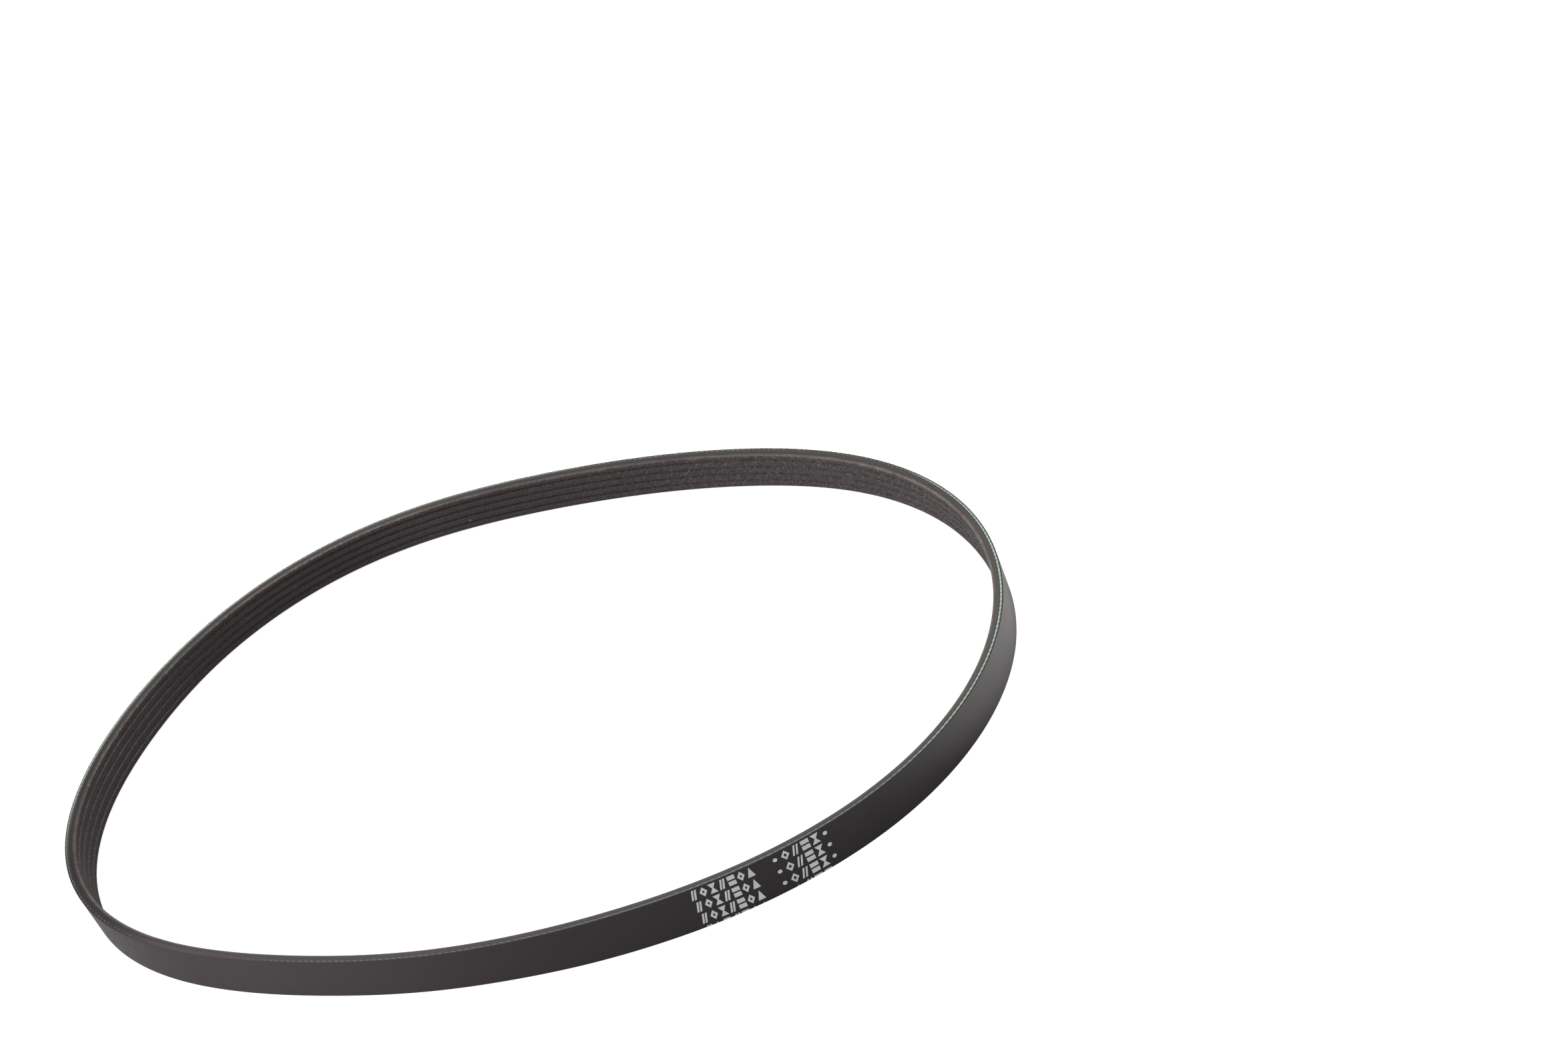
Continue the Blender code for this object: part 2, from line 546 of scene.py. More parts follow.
def section_mesh():
    """The section as a closed line: x runs outwards from the strand, y runs down from mid height."""
    strand_depth = settings("belt_sizes").strand_depth
    rows = fine_section()
    mesh = bpy.data.meshes.new("belt_section")
    points = [(strand_depth - p.x, belt_width() / 2.0 - p.y, 0.0) for p, _ in rows]
    mesh.from_pydata(points, [(i, (i + 1) % len(points)) for i in range(len(points))], [])
    for name, values in (("depth", [p.x for p, _ in rows]), ("ragged", [r for _, r in rows])):
        mesh.attributes.new(name, "FLOAT", "POINT").data.foreach_set("value", values)
    return mesh


def sweep_tree(sizes):
    """The section is swept round the loop, and its torn edges wander a little."""
    graph, given = new_geometry_tree("belt_sweep", sizes)
    width = given["Belt Width"]
    loop = add_loop(graph, given, width * 0.5)
    marked = graph.stored(loop, "along", graph.along_spline("Length"))
    marked = graph.stored(marked, "share", graph.along_spline("Factor"))
    out = outwards(graph, graph.add("GeometryNodeInputTangent").outputs[0])
    marked = graph.stored(marked, "out", out, "FLOAT_VECTOR")
    profile = graph.add("GeometryNodeMeshToCurve", {0: given["Geometry"]})
    swept = graph.add("GeometryNodeCurveToMesh", {"Curve": marked, "Profile Curve": profile})
    _, _, height = graph.parts(graph.add("GeometryNodeInputPosition"))
    lean = lean_at(graph, graph.attribute("share"), height, width)
    swept = graph.moved(swept, Offset=graph.scaled(graph.attribute("out", "FLOAT_VECTOR"), lean))
    x, y, z = graph.parts(graph.add("GeometryNodeInputPosition"))
    wander = graph.noise((x * 900.0, y * 900.0, z * 60.0), detail=3.0, rough=0.6) - 0.5
    drop = graph.noise((x * 420.0, y * 420.0, z * 60.0), detail=2.0, seed=3.0) - 0.5
    far_side = y.rise(-0.03, 0.03)
    reach = graph.attribute("ragged") * given["Ragged Edge"] * (0.25 + 0.75 * far_side)
    normal = graph.add("GeometryNodeInputNormal")
    offset = graph.vectors("ADD", graph.scaled(normal, reach * wander * 2.0),
                           graph.vector(0.0, 0.0, reach * drop * 1.5))
    return close_tree(graph, given, graph.moved(swept, Offset=offset), smooth=True)


def values_of(items, field, kind=float, width=1):
    """One field of all of a mesh's items, as an array."""
    values = np.empty(len(items) * width, dtype=kind)
    items.foreach_get(field, values)
    return values


def lay_uv(mesh):
    """A UV map of (length round the loop, depth in from the back), unbroken where the loop closes."""
    along = values_of(mesh.attributes["along"].data, "value")
    depth = values_of(mesh.attributes["depth"].data, "value")
    corners = values_of(mesh.loops, "vertex_index", np.int64)
    sides = values_of(mesh.polygons, "loop_total", np.int64)
    face = np.repeat(np.arange(len(sides)), sides)
    u = along[corners]
    top = np.maximum.reduceat(u, np.concatenate(([0], np.cumsum(sides)[:-1])))[face]
    u = np.where(top - u > along.max() / 2.0, u + pitch_length(), u)
    layer = mesh.uv_layers.new(name="lay")
    layer.data.foreach_set("uv", np.stack([u, depth[corners]], axis=1).ravel())


def face_outwards(mesh):
    """Turns the faces of a closed mesh outwards."""
    shell = bmesh.new()
    shell.from_mesh(mesh)
    bmesh.ops.remove_doubles(shell, verts=shell.verts, dist=1e-7)
    if shell.calc_volume(signed=True) < 0.0:
        bmesh.ops.reverse_faces(shell, faces=shell.faces)
    shell.to_mesh(mesh)
    shell.free()


# Materials

class RubberPlace:
    """Where a point of the rubber lies: along, in from the back and in space, and on which face."""

    def __init__(self, g):
        width, back = belt_width(), settings("belt_sizes").back_thickness
        self.along, self.depth, _ = g.parts(g.add("ShaderNodeUVMap", uv_map="lay"))
        self.spot = g.add("ShaderNodeTexCoord").outputs["Object"]
        self.x, self.y, self.z = g.parts(self.spot)
        on_top = self.z.rise(width - 0.16 * MM, width - 0.06 * MM)
        on_foot = self.z.rise(0.16 * MM, 0.06 * MM)
        self.is_back = self.depth.rise(0.10 * MM, 0.02 * MM)
        self.is_cut = (on_top + on_foot).clamped() * (1.0 - self.is_back) \
            * self.depth.rise(back + 0.1 * MM, back)
        self.is_rib = self.depth.rise(back - 0.02 * MM, back + 0.05 * MM)
        upper_flank = self.is_rib * self.z.rise(width - 1.05 * MM, width - 0.85 * MM)
        lower_flank = self.is_rib * self.z.rise(1.05 * MM, 0.85 * MM)
        self.outer_flank = (upper_flank + lower_flank).clamped()


def back_finish(g, at, tint):
    """The back, with a faint imprint, mottling, grain, specks, creases with painted shade, and a painted
    sheen along its length: (colour, roughness, relief).
    """
    x, y, z = at.x, at.y, at.z
    turns = round(pitch_length() / IMPRINT_PITCH)
    phase = at.along * (2.0 * math.pi * turns / pitch_length()) + z * (2.0 * math.pi * IMPRINT_SLANT / MM)
    patchy = g.noise((x * 35.0, y * 35.0, z * 120.0), detail=3.0)
    right_half = x.rise(0.02, 0.15)
    imprint = (phase.sin() * 0.5 + 0.5) * (0.35 + patchy) * (0.30 + 0.70 * right_half)
    grain = g.noise(at.spot, 5200.0, detail=3.0, rough=0.65)
    cloud = g.noise((x * 22.0, y * 22.0, z * 40.0), detail=4.0, rough=0.55, seed=1.0)
    speck = g.noise(at.spot, 620.0, detail=1.0, seed=7.0).rise(0.80, 0.84)
    leather = g.noise(at.spot, 1100.0, detail=3.0, rough=0.6, seed=17.0)
    near_left = x.rise(-0.09, -0.14) * y.rise(-0.04, -0.08)
    # Painted shade: the creases at the near left are drawn as light and dark tone; their bumps are real
    painted_crease_shade = (leather.rise(0.42, 0.60) - 0.5) * near_left * 1.7
    # Painted sheen: the back's tone along its length stands in for its reflections
    painted_sheen = g.curve(at.along / pitch_length(), BACK_PAINTED_SHEEN) * 2.0
    tone = (0.76 + cloud * 0.22 + imprint * 0.36 + grain * 0.06 + painted_crease_shade) * painted_sheen
    shade = g.mix(speck * 0.6, g.scaled(tint.back[:3], tone), SPECK_COLOUR)
    relief = imprint * 0.75 + grain * 0.10 + speck * 0.5 + leather * near_left * 3.0
    return shade, 0.50 + cloud * 0.10 + grain * 0.06, relief


def cut_finish(g, at, tint):
    """The cut edges, with fine lines, dust and a darker outer layer: (colour, roughness, relief)."""
    x, y = at.x, at.y
    lines = g.noise((x * 70.0, y * 70.0, at.depth * 9000.0), detail=3.0, rough=0.6, seed=2.0)
    dust = g.noise(at.spot, 1500.0, detail=4.0, rough=0.7, seed=4.0)
    drift = g.noise(at.spot, 14.0, detail=2.0, seed=5.0)
    outer_layer = at.depth.rise(0.34 * MM, 0.22 * MM)
    from_spot = g.vectors("LENGTH", g.vector(x - DARK_DULL_SPOT[0], y - DARK_DULL_SPOT[1], 0.0))
    far_left = x.rise(-0.03, -0.13) * y.rise(-0.03, 0.03)
    right_end = x.rise(0.165, 0.198)
    tone = 0.36 + lines * 0.38 + dust * 0.28 + drift * 0.20
    # Darker round one spot, and lighter at the far left and at the right end
    tone = tone * (1.0 - outer_layer * 0.66) * (0.32 + 0.68 * from_spot.rise(0.015, 0.065))
    tone = tone * (1.0 + 0.95 * far_left + 0.35 * right_end)
    dull = 0.62 + dust * 0.2 + from_spot.rise(0.065, 0.015) * 0.25
    return g.scaled(tint.cut[:3], tone), dull, lines * 0.5 + dust * 0.5


def curled_fibres(g, at):
    """Thin broken curls of fibre, in three sizes."""
    curls = 0.0
    for layer, seed in enumerate((13.0, 14.0, 15.0)):
        line = g.noise(at.spot, 900.0 + 250.0 * layer, detail=1.0, seed=seed) - 0.5
        broken = g.noise(at.spot, 700.0, detail=1.0, seed=seed + 5.0).rise(0.48, 0.62)
        curls = line.size().rise(0.075, 0.015) * broken + curls
    return curls


def rib_finish(g, at, tint, curls):
    """The ribs, dark, with short fibres across them, pale tip edges of fuzz and painted highlight, and
    painted light by place: (colour, relief).
    """
    sizes = settings("belt_sizes")
    x, y, z = at.x, at.y, at.z
    pitch, tip = sizes.rib_pitch, sizes.back_thickness + sizes.rib_height
    streaks = g.noise((x * 3600.0, y * 3600.0, z * 900.0), detail=3.0, rough=0.6, seed=6.0)
    tuft = g.noise(at.spot, 1250.0, detail=2.0, rough=0.65, seed=8.0)
    uneven = 0.4 + g.noise(at.spot, 90.0, detail=3.0, seed=12.0)
    on_flank = at.depth.rise(tip - 0.12 * MM, tip - 0.9 * MM)

    # Edges of the tips, by height within one rib
    from_high = ((z - (pitch + tip_width()) / 2.0) / pitch + 0.5).fract() - 0.5
    from_low = (from_high + tip_width() / pitch + 0.5).fract() - 0.5
    high_edge = (from_high - 0.03).size().rise(0.05, 0.01) * uneven
    low_edge = from_low.size().rise(0.12, 0.02) * uneven

    # Tones by place round the loop: painted light, lighter or darker as light falls on the ribs there; the
    # curls are thicker to the right
    left_end = x.rise(0.03, -0.10) * y.rise(0.10, 0.01)
    plain_left = x.rise(-0.08, -0.13) * y.rise(0.03, 0.07)
    far_left = x.rise(-0.06, -0.10) * y.rise(0.05, 0.09)
    middle = x.rise(0.05, 0.01) * x.rise(-0.10, -0.05)
    shaggy = (0.35 + 0.65 * x.rise(-0.09, 0.06)) * (0.6 + 0.8 * g.noise(at.spot, 60.0, seed=16.0))
    tone = 0.51 + streaks.rise(0.56, 0.74) * 0.75 + (tuft - 0.5) * 1.1 + curls * shaggy * 0.95
    # Painted light: deeper down the flanks the ribs are lighter, most at the left end, against the shade in
    # the grooves
    tone = tone * (1.0 + on_flank * (0.7 + left_end * 1.6))
    tone = tone * (1.0 + 0.16 * x.rise(0.04, 0.10)) * (1.0 - 0.20 * middle)
    # Pale tip edges: worn fuzz, and partly a painted highlight along the upper edge, strongest at the left
    # end
    edges = high_edge * (0.3 + left_end * 2.2) + low_edge * 0.6
    tone = tone * (1.0 + edges * (1.0 - 0.75 * plain_left)) * (1.0 + 0.28 * far_left)
    return g.scaled(tint.rib[:3], tone), streaks + tuft * 0.6 + curls * 1.2


def flank_finish(g, at, tint, curls, rib_shade, cut_shade):
    """The outer flanks, brown near the cut and pale and fuzzy to the tip: (ribs, flanks, relief)."""
    sizes = settings("belt_sizes")
    width, back = belt_width(), sizes.back_thickness
    x, y, z = at.x, at.y, at.z
    fall = at.depth.rise(back, back + sizes.rib_height)
    torn = g.noise((x * 1500.0, y * 1500.0, at.depth * 300.0), detail=3.0, rough=0.65, seed=9.0)
    patch = g.noise(at.spot, 90.0, detail=4.0, rough=0.6, seed=10.0)
    band = (fall + (torn - 0.5) * 0.6 + (patch - 0.5) * 0.6).rise(0.38, 0.86)
    hairs = g.noise((x * 4200.0, y * 4200.0, at.depth * 700.0), detail=2.0, rough=0.6, seed=11.0)

    # Tones by place round the loop
    middle = x.rise(0.06, 0.02) * x.rise(-0.09, -0.05)
    by_side = 0.30 * x.rise(0.06, 0.16) + 0.15 * x.rise(-0.06, -0.12) - 0.35 * x.rise(-0.15, -0.19)
    left_crest = x.rise(-0.07, -0.13) * y.rise(-0.07, -0.02)
    tone = 0.42 + hairs.rise(0.36, 0.70) * 0.55 + (patch - 0.5) * 1.1 + curls * 0.25
    tone = tone * (1.0 - 0.22 * middle) * (1.0 + by_side)
    crest = (z - (width - 0.87 * MM)).size().rise(0.36 * MM, 0.10 * MM) \
        * at.depth.rise(back + 1.4 * MM, back + 1.9 * MM)
    tone = tone + crest * left_crest * (0.34 + curls * 0.6)
    fuzz_shade = g.scaled(tint.fuzz[:3], tone)
    shaggy_edge = z.rise(width - 2.2 * MM, width - 0.95 * MM) + (torn - 0.5) + curls * 0.25 \
        + (patch - 0.5) * 0.9
    rib_shade = g.mix(shaggy_edge.rise(0.62, 1.05), rib_shade, fuzz_shade)
    return rib_shade, g.mix(band, cut_shade, fuzz_shade), at.outer_flank * (hairs * band * 1.4)


def rubber_material():
    """Satin back, ground cut edges, fibrous rib edges and dark ribs, by depth and height."""
    tint = settings("belt_colours")
    material, g, shader = new_material("belt_rubber")
    at = RubberPlace(g)
    curls = curled_fibres(g, at)
    back_shade, satin, back_relief = back_finish(g, at, tint)
    cut_shade, dull, cut_relief = cut_finish(g, at, tint)
    rib_shade, rib_relief = rib_finish(g, at, tint, curls)
    rib_shade, flank_shade, flank_relief = flank_finish(g, at, tint, curls, rib_shade, cut_shade)

    shade = g.mix(at.is_cut, rib_shade, cut_shade)
    shade = g.mix(at.outer_flank, shade, flank_shade)
    g.join(shader.inputs["Base Color"], g.mix(at.is_back, shade, back_shade))

    fibrous = 0.80
    worn_edge = at.is_back * at.z.rise(belt_width() - 0.14 * MM, belt_width() - 0.05 * MM)
    roughness = satin * at.is_back + (1.0 - at.is_back) * (at.is_cut * dull + (1.0 - at.is_cut) * fibrous)
    g.join(shader.inputs["Roughness"], roughness + worn_edge * 0.45)
    shader.inputs["IOR"].default_value = 1.5
    shader.inputs["Specular Tint"].default_value = (1.0, 0.92, 0.94, 1.0)
    relief = at.is_back * back_relief + at.is_cut * cut_relief + at.is_rib * (rib_relief + flank_relief)
    g.bump(shader, relief, 0.6, 0.04 * MM)
    return material


def strand_material():
    """Pale yarn: fine filaments along each ply, and painted shade between the plies."""
    material, g, shader = new_material("tensile_yarn")
    _, crown, _ = g.parts(g.add("ShaderNodeUVMap", uv_map="ply"))
    place = g.add("ShaderNodeTexCoord").outputs["Object"]
    x, y, _ = g.parts(place)
    soil = g.noise(place, 60.0, detail=4.0, rough=0.6)
    filament = g.noise((x * 5000.0, y * 5000.0, crown * 6.0), detail=2.0, seed=2.0)
    right_end = x.rise(0.15, 0.19)
    near_side = y.rise(-0.05, -0.085)
    left_end = x.rise(-0.14, -0.18) * y.rise(-0.06, -0.01)
    # Painted shade: the yarn is darker where it dips between the plies
    shade = (0.72 + filament * 0.36) * (0.80 + soil * 0.4) * (0.84 + 0.16 * crown.rise(-0.5, 0.1))
    shade = shade * (1.0 + 0.6 * right_end) * (1.0 - 0.42 * near_side) * (1.0 + 0.30 * left_end)
    g.join(shader.inputs["Base Color"], g.scaled(settings("belt_colours").strand[:3], shade))
    shader.inputs["Roughness"].default_value = 0.62
    shader.inputs["IOR"].default_value = 1.45
    g.bump(shader, filament, 0.5, 0.02 * MM)
    return material


def ink_material():
    """Pale ink, a little worn and thin in places."""
    material, g, shader = new_material("pale_ink")
    place = g.add("ShaderNodeTexCoord").outputs["Object"]
    worn = g.noise(place, 900.0, detail=4.0, rough=0.7)
    thin = g.noise(place, 120.0, detail=2.0, seed=2.0)
    tone = 0.80 + worn.rise(0.25, 0.6) * 0.16 + (thin - 0.5) * 0.25
    g.join(shader.inputs["Base Color"], g.scaled(settings("belt_colours").mark[:3], tone))
    shader.inputs["Roughness"].default_value = 0.55
    g.bump(shader, worn, 0.4, 0.01 * MM)
    return material


def varied_material(name, shade, grain=700.0, least=0.7, spread=0.6, roughness=0.8):
    """One colour that varies a little from place to place."""
    material, g, shader = new_material(name)
    vary = g.noise(g.add("ShaderNodeTexCoord").outputs["Object"], grain, detail=2.0)
    g.join(shader.inputs["Base Color"], g.scaled(shade[:3], least + vary * spread))
    shader.inputs["Roughness"].default_value = roughness
    return material


# Operators

class BELT_OT_rubber(bpy.types.Operator):
    """Sweep the rubber round the loop with its fine section and finish"""
    bl_idname = "belt.rubber"
    bl_label = "Rubber"

    def execute(self, context):
        sizes = loop_sizes() | {"Ragged Edge": settings("belt_sizes").ragged}
        piece = baked("belt_rubber", section_mesh(), sweep_tree(sizes), sizes, rubber_material())
        face_outwards(piece.data)
        lay_uv(piece.data)
        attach(piece, BODY)
        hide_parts(CAD_NODE)
        return {"FINISHED"}


def strand_tree(sizes, plies):
    """Yarns twisted round the tensile line, sunk in the cut edge and pressed nearly flush with it."""
    graph, given = new_geometry_tree("twisted_strand", sizes)
    wanted, width, across = given["Pitch Length"], given["Belt Width"], given["Strand Width"]
    ply_radius = across * (0.5 / (1.0 + 1.0 / math.sin(math.pi / plies)))
    lay_radius = across * 0.5 - ply_radius
    turns = wanted / (given["Crest Spacing"] * float(plies))
    turns = graph.term(graph.add("ShaderNodeMath", {0: turns}, operation="ROUND"))
    loop = add_loop(graph, given, width)
    share = graph.along_spline("Factor")
    shows = graph.curve(share, STRAND_SHOWS)
    uneven = graph.noise(graph.add("GeometryNodeInputPosition"), 210.0, detail=3.0, rough=0.6) - 0.5
    centre = across * (shows - 1.06) * 0.62 + across * uneven * (1.15 - shows) * 0.3
    normal = graph.add("GeometryNodeInputNormal")
    ring = graph.add("GeometryNodeCurvePrimitiveCircle", {"Resolution": 7, "Radius": ply_radius},
                     mode="RADIUS")
    joined = graph.add("GeometryNodeJoinGeometry")
    for ply in range(plies):
        turn = share * turns * (-2.0 * math.pi) + (2.0 * math.pi * ply / plies)
        swing = graph.vectors("ADD", graph.scaled(normal, lay_radius * turn.cos()),
                              graph.vector(0.0, 0.0, lay_radius * turn.sin() + centre))
        marked = graph.stored(graph.moved(loop, Offset=swing), "along", graph.along_spline("Length"))
        yarn = graph.add("GeometryNodeCurveToMesh", {"Curve": marked, "Profile Curve": ring})
        graph.join(joined.inputs[0], yarn)
    x, y, z = graph.parts(graph.add("GeometryNodeInputPosition"))
    proud = (z - width).high(0.0)
    pressed = graph.moved(joined, Position=graph.vector(x, y, z - proud * (1.0 - given["Flush"])))
    return close_tree(graph, given, pressed, smooth=True)


class BELT_OT_strand(bpy.types.Operator):
    """Twist the tensile strand and lay it in the upper cut edge"""
    bl_idname = "belt.strand"
    bl_label = "Tensile strand"

    def execute(self, context):
        strand = settings("strand_sizes")
        sizes = loop_sizes() | {"Stations": strand.stations, "Strand Width": strand.width,
                                "Crest Spacing": strand.dash, "Flush": strand.flush}
        piece = baked("tensile_strand", bpy.data.meshes.new("strand_seed"),
                      strand_tree(sizes, strand.plies), sizes, strand_material())
        mesh = piece.data
        face_outwards(mesh)
        # Height above the strand's middle, for the shade between the plies
        along = values_of(mesh.attributes["along"].data, "value")
        height = values_of(mesh.vertices, "co", width=3).reshape(-1, 3)[:, 2]
        crown = (height - belt_width()) / (strand.width * 0.5)
        corners = values_of(mesh.loops, "vertex_index", np.int64)
        layer = mesh.uv_layers.new(name="ply")
        layer.data.foreach_set("uv", np.stack([along[corners], crown[corners]], axis=1).ravel())
        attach(piece, BODY)
        return {"FINISHED"}


def fibres_tree(sizes):
    """Short fibres scattered over the ribs, thickest along the uppermost tip edge."""
    graph, given = new_geometry_tree("rib_fibres", sizes)
    reach, back, width = given["Fibre Length"], given["Back Thickness"], given["Belt Width"]
    depth = graph.attribute("depth")
    x, y, z = graph.parts(graph.add("GeometryNodeInputPosition"))
    on_rib = depth.above(back + 0.12 * MM) * z.above(0.9 * MM)
    edge = (z - (width - 1.0 * MM)).size().rise(0.9 * MM, 0.2 * MM) \
        * depth.rise(back + 0.9 * MM, back + 1.7 * MM)
    calm = y.rise(0.02, -0.02).high(x.rise(0.165, 0.18)) * z.above(width - 1.6 * MM)
    density = given["Fibres"] * on_rib * (1.0 + edge * 2.5) * (1.0 - calm)
    points = graph.add("GeometryNodeDistributePointsOnFaces", {
        "Mesh": given["Geometry"], "Density": density, "Seed": given["Seed"]},
        distribute_method="RANDOM")
    # A fibre: a short bent three-sided needle along its own X
    needle = graph.add("GeometryNodeCurvePrimitiveBezierSegment", {
        "Resolution": 3, "Start": graph.vector(reach * -0.5, 0.0, 0.0),
        "Start Handle": graph.vector(reach * -0.2, reach * 0.12, reach * 0.10),
        "End Handle": graph.vector(reach * 0.2, reach * -0.14, reach * 0.05),
        "End": graph.vector(reach * 0.5, 0.0, reach * 0.01)}, mode="POSITION")
    profile = graph.add("GeometryNodeCurvePrimitiveCircle", {
        "Resolution": 3, "Radius": given["Fibre Width"] * 0.5}, mode="RADIUS")
    fibre = graph.add("GeometryNodeCurveToMesh", {
        "Curve": needle, "Profile Curve": profile, "Fill Caps": True})
    turn = graph.vector(0.0, 0.0, (graph.random(0.0, 1.0, 11) - 0.5) * 1.9)
    upright = graph.add("FunctionNodeAlignRotationToVector", {"Vector": points.outputs["Normal"]},
                        axis="Z")
    across = graph.add("FunctionNodeAlignRotationToVector", {
        "Rotation": upright, "Vector": graph.vector(0.0, 0.0, 1.0)}, axis="X", pivot_axis="Z")
    local = graph.add("FunctionNodeEulerToRotation", {0: turn})
    rotation = graph.add("FunctionNodeRotateRotation", {0: across, 1: local}, rotation_space="LOCAL")
    placed = graph.add("GeometryNodeInstanceOnPoints", {
        "Points": points, "Instance": fibre, "Rotation": rotation,
        "Scale": graph.random(0.45, 1.25, 5)})
    return close_tree(graph, given, placed, smooth=True)


class BELT_OT_fibres(bpy.types.Operator):
    """Scatter the short fibres that stand out of the ribs"""
    bl_idname = "belt.fibres"
    bl_label = "Rib fibres"

    def execute(self, context):
        belt, fibres = settings("belt_sizes"), settings("fibre_sizes")
        rubber = bpy.data.objects["belt_rubber"].data
        depths = values_of(rubber.attributes["depth"].data, "value")
        area = sum(p.area for p in rubber.polygons if depths[p.vertices[0]] > belt.back_thickness)
        sizes = {"Fibres": fibres.count / max(area * 1.35, 1e-6), "Fibre Length": fibres.length,
                 "Fibre Width": fibres.width, "Back Thickness": belt.back_thickness,
                 "Belt Width": belt_width(), "Seed": 4}
        material = varied_material("short_fibre", settings("belt_colours").fuzz, 400.0, 0.35, 1.3, 0.7)
        piece = baked("rib_fibres", rubber.copy(), fibres_tree(sizes), sizes, material)
        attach(piece, BODY)
        return {"FINISHED"}


def laid(name, mesh, lift, material):
    """A drawing in (length, height, out from the back) bent onto the belt."""
    sizes = loop_sizes() | {"Strand Depth": settings("belt_sizes").strand_depth, "Lift": lift}
    graph, given = new_geometry_tree("laid_on_belt", sizes)
    loop = add_loop(graph, given, 0.0)
    u, v, w = graph.parts(graph.add("GeometryNodeInputPosition"))
    spot = graph.add("GeometryNodeSampleCurve", {"Curves": loop, "Length": u}, mode="LENGTH")
    lean = lean_at(graph, u / given["Pitch Length"], v, given["Belt Width"])
    stand = given["Strand Depth"] + given["Lift"] + w + lean
    risen = graph.vectors("ADD", spot.outputs["Position"], graph.vector(0.0, 0.0, v))
    place = graph.vectors("ADD", risen, graph.scaled(outwards(graph, spot.outputs["Tangent"]), stand))
    tree = close_tree(graph, given, graph.moved(given["Geometry"], Position=place))
    piece = baked(name, mesh, tree, sizes, material)
    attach(piece, BODY)
    return piece


def slab(shape, corners):
    """A flat face through the corners, in the plane of the marks."""
    shape.faces.new([shape.verts.new((x, y, 0.0)) for x, y in corners])


def mark_block(shape, w, h, stroke):
    slab(shape, ((0.0, 0.0), (w, 0.0), (w, h * 0.42), (0.0, h * 0.42)))
    slab(shape, ((0.0, h * 0.58), (w, h * 0.58), (w, h), (0.0, h)))


def mark_slants(shape, w, h, stroke):
    lean = w * 0.38
    wide = stroke * 0.85
    for x in (0.0, w - lean - wide):
        slab(shape, ((x, 0.0), (x + wide, 0.0), (x + wide + lean, h), (x + lean, h)))


def mark_dot(shape, w, h, stroke):
    radius = stroke * 1.05
    angles = [math.tau * n / 12 for n in range(12)]
    slab(shape, [(w / 2 + radius * math.cos(a), h / 2 + radius * math.sin(a)) for a in angles])


def mark_lozenge(shape, w, h, stroke):
    outer = ((w / 2, 0.0), (w, h / 2), (w / 2, h), (0.0, h / 2))
    inset = stroke * 1.15
    inner = ((w / 2, inset * h / w), (w - inset, h / 2), (w / 2, h - inset * h / w), (inset, h / 2))
    for side in range(4):
        after = (side + 1) % 4
        slab(shape, (outer[side], outer[after], inner[after], inner[side]))


def mark_glass(shape, w, h, stroke):
    left, right = (w / 2 - stroke * 0.3, h / 2), (w / 2 + stroke * 0.3, h / 2)
    slab(shape, ((0.0, 0.0), (w, 0.0), right, left))
    slab(shape, (left, right, (w, h), (0.0, h)))


def mark_peak(shape, w, h, stroke):
    slab(shape, ((0.0, 0.0), (w, 0.0), (w / 2, h)))


# Two groups of marks: where they start along the loop, how far apart the marks
# are, how wide each is, and their order. They stand in four rows from the top.
MARK_GROUPS = (
    (936.6 * MM, 3.42 * MM, 2.75 * MM, (mark_slants, mark_lozenge, mark_glass, mark_slants,
                                        mark_block, mark_lozenge, mark_peak)),
    (966.2 * MM, 3.86 * MM, 3.10 * MM, (mark_dot, mark_lozenge, mark_slants, mark_block,
                                        mark_glass, mark_dot)),
)
MARK_ROWS = 4
MARK_TOP_MARGIN = 0.6 * MM
MARK_FOOT_MARGIN = 0.12 * MM
MARK_BEND_STEP = 0.9 * MM


def sliced(sheet, place, direction, clear=False):
    """Cuts all faces of a sheet at a plane, and clears what lies behind it."""
    bmesh.ops.bisect_plane(sheet, geom=sheet.verts[:] + sheet.edges[:] + sheet.faces[:],
                           plane_co=place, plane_no=direction, clear_inner=clear)


class BELT_OT_marks(bpy.types.Operator):
    """Print the rows of plain pale shapes on the back"""
    bl_idname = "belt.marks"
    bl_label = "Marks"

    def execute(self, context):
        sizes = settings("mark_sizes")
        sheet = bmesh.new()
        top = belt_width() - MARK_TOP_MARGIN
        for start, pitch, wide, order in MARK_GROUPS:
            for row in range(MARK_ROWS):
                level = top - row * sizes.row_pitch - sizes.height
                for place, draw in enumerate(order):
                    before = len(sheet.verts)
                    draw(sheet, wide, sizes.height, sizes.stroke)
                    sheet.verts.ensure_lookup_table()
                    for vert in sheet.verts[before:]:
                        vert.co += Vector((start + place * pitch, level, 0.0))
        sliced(sheet, (0.0, MARK_FOOT_MARGIN, 0.0), (0.0, 1.0, 0.0), clear=True)
        reach = [v.co.x for v in sheet.verts]
        cut = min(reach) + MARK_BEND_STEP
        while cut < max(reach):
            sliced(sheet, (cut, 0.0, 0.0), (1.0, 0.0, 0.0))
            cut += MARK_BEND_STEP
        mesh = bpy.data.meshes.new("mark_sheet")
        bmesh.ops.recalc_face_normals(sheet, faces=sheet.faces)
        sheet.to_mesh(mesh)
        sheet.free()
        piece = laid("printed_marks", mesh, sizes.lift, ink_material())
        if sum(p.normal.dot(p.center.xy.to_3d()) * p.area for p in piece.data.polygons) < 0.0:
            piece.data.flip_normals()
        return {"FINISHED"}


